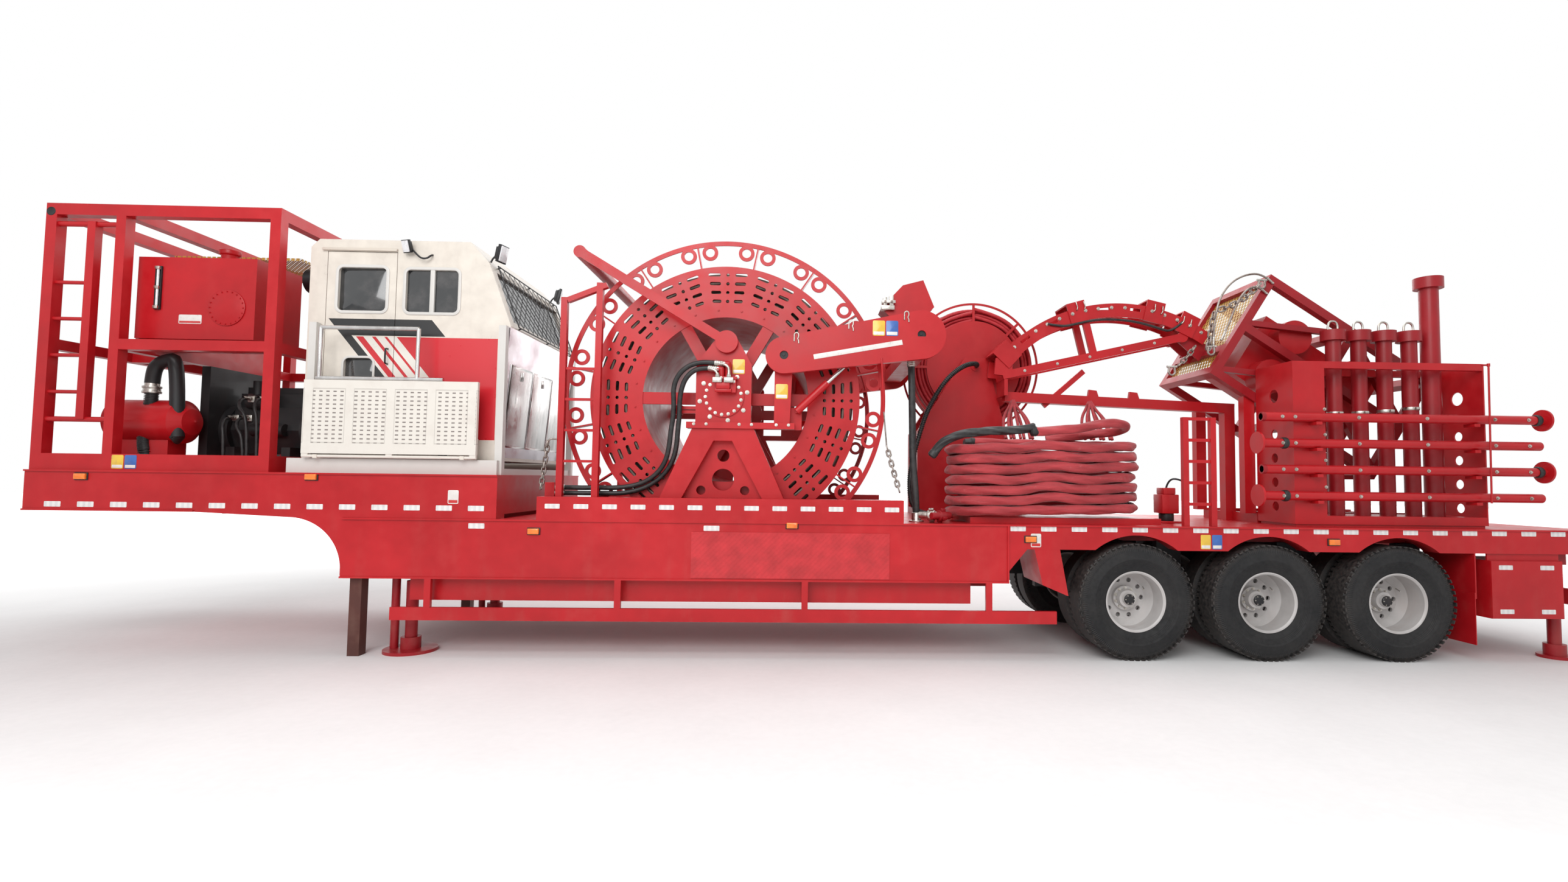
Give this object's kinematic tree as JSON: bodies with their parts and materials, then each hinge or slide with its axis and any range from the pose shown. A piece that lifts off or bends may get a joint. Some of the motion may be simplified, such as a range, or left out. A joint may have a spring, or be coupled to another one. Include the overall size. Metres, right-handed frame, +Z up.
{
  "type": "coiled tubing unit semi-trailer",
  "caption": "Gooseneck semi-trailer carrying a power pack, raised control cabin, tubing reel with levelwind, hose reel, guide arch, injector and riser rack.",
  "frame": {"origin": "on the ground, midway along the overall length and on the centre plane", "axes": "+X towards the trailer rear, +Y towards its right side, +Z up"},
  "size_m": [15.24, 2.5, 4.27],
  "materials": {
    "red_paint": "gloss red paint",
    "dark_red_paint": "gloss red paint, older coat",
    "cabin_paint": "cream-white gloss paint",
    "white_paint": "white paint",
    "black_paint": "satin black",
    "ochre_grating": "ochre paint on mesh",
    "tyre": "black rubber",
    "rim": "silver paint",
    "glazing": "tinted glass",
    "steel_tubing": "dark mill scale",
    "stainless": "polished tube",
    "hose_sheath": "woven red sheath",
    "hydraulic_hose": "black wrapped rubber",
    "hose_rubber": "red rubber hose",
    "timber": "brown primer"
  },
  "bodies": {
    "trailer": {"trailer_frame": "red_paint", "deck_plates": "red_paint", "axles_and_springs": "black_paint", "guards": "red_paint", "lockers": "red_paint", "jack_housings": "dark_red_paint", "prop_posts": "timber", "power_pack_frame": "red_paint", "tanks": "red_paint", "engine_block": "black_paint", "exhaust_muffler": "black_paint", "grating_panels": "ochre_grating", "cabin_base": "white_paint", "reel_skid": "red_paint", "reel_stand": "red_paint", "reel_hose_outer": "hydraulic_hose", "reel_hose_inner": "hydraulic_hose", "hose_reel_stand": "red_paint", "hose_pile": "hose_sheath", "injector_cage": "dark_red_paint", "injector_drive": "red_paint", "injector_stand": "red_paint", "riser_rack": "red_paint", "riser_pipes": "dark_red_paint", "stabiliser_legs": "red_paint"},
    "beam_door": {"beam_door": "red_paint"},
    "toolbox_door_left": {"toolbox_door_left": "red_paint"},
    "toolbox_door_right": {"toolbox_door_right": "red_paint"},
    "front_jack_left": {"front_jack_left": "dark_red_paint"},
    "front_jack_right": {"front_jack_right": "dark_red_paint"},
    "rear_jack_left": {"rear_jack_left": "dark_red_paint"},
    "rear_jack_right": {"rear_jack_right": "dark_red_paint"},
    "cabin": {"cabin_shell": "cabin_paint", "cabin_glazing": "glazing"},
    "cabin_door": {"cabin_door": "cabin_paint"},
    "side_platform": {"side_platform": "white_paint"},
    "platform_handrail": {"platform_handrail": "stainless"},
    "reel": {"reel_drum": "red_paint", "reel_shaft": "red_paint", "tubing_coil": "steel_tubing"},
    "levelwind": {"levelwind_arm": "red_paint"},
    "counter_head": {"counter_head": "red_paint"},
    "levelwind_cylinders": {"levelwind_cylinders": "red_paint"},
    "levelwind_rods": {"levelwind_rods": "stainless"},
    "hold_down": {"hold_down_arm": "red_paint"},
    "hose_reel": {"hose_reel_drum": "red_paint", "hose_reel_hoses": "hose_rubber"},
    "guide_arch": {"guide_arch": "red_paint"},
    "wheel_front_left": {"wheel_front_left_tyres": "tyre", "wheel_front_left_rims": "rim"},
    "wheel_front_right": {"wheel_front_right_tyres": "tyre", "wheel_front_right_rims": "rim"},
    "wheel_middle_left": {"wheel_middle_left_tyres": "tyre", "wheel_middle_left_rims": "rim"},
    "wheel_middle_right": {"wheel_middle_right_tyres": "tyre", "wheel_middle_right_rims": "rim"},
    "wheel_rear_left": {"wheel_rear_left_tyres": "tyre", "wheel_rear_left_rims": "rim"},
    "wheel_rear_right": {"wheel_rear_right_tyres": "tyre", "wheel_rear_right_rims": "rim"}
  },
  "joints": [
    {"name": "wheel_front_left_spin", "type": "hinge", "parent": "trailer", "child": "wheel_front_left", "pos_m": [2.905, -0.908, 0.5625], "axis": [0, 1, 0], "continuous": true},
    {"name": "wheel_front_right_spin", "type": "hinge", "parent": "trailer", "child": "wheel_front_right", "pos_m": [2.905, 0.908, 0.5625], "axis": [0, 1, 0], "continuous": true},
    {"name": "wheel_middle_left_spin", "type": "hinge", "parent": "trailer", "child": "wheel_middle_left", "pos_m": [4.215, -0.908, 0.5625], "axis": [0, 1, 0], "continuous": true},
    {"name": "wheel_middle_right_spin", "type": "hinge", "parent": "trailer", "child": "wheel_middle_right", "pos_m": [4.215, 0.908, 0.5625], "axis": [0, 1, 0], "continuous": true},
    {"name": "wheel_rear_left_spin", "type": "hinge", "parent": "trailer", "child": "wheel_rear_left", "pos_m": [5.525, -0.908, 0.5625], "axis": [0, 1, 0], "continuous": true},
    {"name": "wheel_rear_right_spin", "type": "hinge", "parent": "trailer", "child": "wheel_rear_right", "pos_m": [5.525, 0.908, 0.5625], "axis": [0, 1, 0], "continuous": true},
    {"name": "beam_door_hinge", "type": "hinge", "parent": "trailer", "child": "beam_door", "pos_m": [-0.46, -1.2433, 1.2], "axis": [-1, 0, 0], "range_deg": [0, 100]},
    {"name": "toolbox_door_left_hinge", "type": "hinge", "parent": "trailer", "child": "toolbox_door_left", "pos_m": [7.157, -1.25, 0.71], "axis": [0, 0, 1], "range_deg": [0, 110]},
    {"name": "toolbox_door_right_hinge", "type": "hinge", "parent": "trailer", "child": "toolbox_door_right", "pos_m": [7.157, 1.25, 0.71], "axis": [0, 0, -1], "range_deg": [0, 110]},
    {"name": "front_jack_left_slide", "type": "slide", "parent": "trailer", "child": "front_jack_left", "axis": [0, 0, 1], "range_m": [0, 0.3]},
    {"name": "rear_jack_left_slide", "type": "slide", "parent": "trailer", "child": "rear_jack_left", "axis": [0, 0, 1], "range_m": [0, 0.3]},
    {"name": "front_jack_right_slide", "type": "slide", "parent": "trailer", "child": "front_jack_right", "axis": [0, 0, 1], "range_m": [0, 0.3]},
    {"name": "rear_jack_right_slide", "type": "slide", "parent": "trailer", "child": "rear_jack_right", "axis": [0, 0, 1], "range_m": [0, 0.3]},
    {"name": "cabin_lift", "type": "slide", "parent": "trailer", "child": "cabin", "axis": [0, 0, 1], "range_m": [0, 0.8]},
    {"name": "platform_fold", "type": "hinge", "parent": "cabin", "child": "side_platform", "pos_m": [-4.31, -1.18, 1.88], "axis": [1, 0, 0], "range_deg": [0, 90]},
    {"name": "handrail_fold", "type": "hinge", "parent": "side_platform", "child": "platform_handrail", "pos_m": [-4.43, -1.18, 2.6293], "axis": [1, 0, 0], "range_deg": [-90, 0]},
    {"name": "cabin_door_hinge", "type": "hinge", "parent": "cabin", "child": "cabin_door", "pos_m": [-5.087, -1, 2.99], "axis": [0, 0, -1], "range_deg": [0, 61]},
    {"name": "reel_spin", "type": "hinge", "parent": "trailer", "child": "reel", "pos_m": [-1.14, 0, 2.51], "axis": [0, 1, 0], "continuous": true},
    {"name": "levelwind_lift", "type": "hinge", "parent": "trailer", "child": "levelwind", "pos_m": [-0.553, 0, 2.92], "axis": [0, -1, 0], "range_deg": [0, 25]},
    {"name": "counter_head_traverse", "type": "slide", "parent": "levelwind", "child": "counter_head", "axis": [0, 1, 0], "range_m": [-0.45, 1.25]},
    {"name": "levelwind_cylinder_swing", "type": "hinge", "parent": "trailer", "child": "levelwind_cylinders", "pos_m": [-0.423, 0, 2.381], "axis": [0, -1, 0], "range_deg": [0, 15]},
    {"name": "levelwind_rod_stroke", "type": "slide", "parent": "levelwind_cylinders", "child": "levelwind_rods", "axis": [0.7196, 0, 0.6944], "range_m": [0, 0.2]},
    {"name": "hold_down_lift", "type": "hinge", "parent": "trailer", "child": "hold_down", "pos_m": [-1.116, 0, 3.048], "axis": [0, 1, 0], "range_deg": [0, 25]},
    {"name": "hose_reel_spin", "type": "hinge", "parent": "trailer", "child": "hose_reel", "pos_m": [1.695, 0.72, 3.09], "axis": [0, 1, 0], "continuous": true},
    {"name": "guide_arch_fold", "type": "hinge", "parent": "trailer", "child": "guide_arch", "pos_m": [4.02, 0.12, 3.41], "axis": [0, 1, 0], "range_deg": [0, 20]}
  ],
  "couplings": [
    {"joint": "handrail_fold", "follows": "platform_fold", "ratio": -1},
    {"joint": "cabin_door_hinge", "follows": "platform_fold", "ratio": 0.6667},
    {"joint": "levelwind_cylinder_swing", "follows": "levelwind_lift", "ratio": 0.566},
    {"joint": "levelwind_rod_stroke", "follows": "levelwind_lift", "m_per_rad": 0.446}
  ]
}
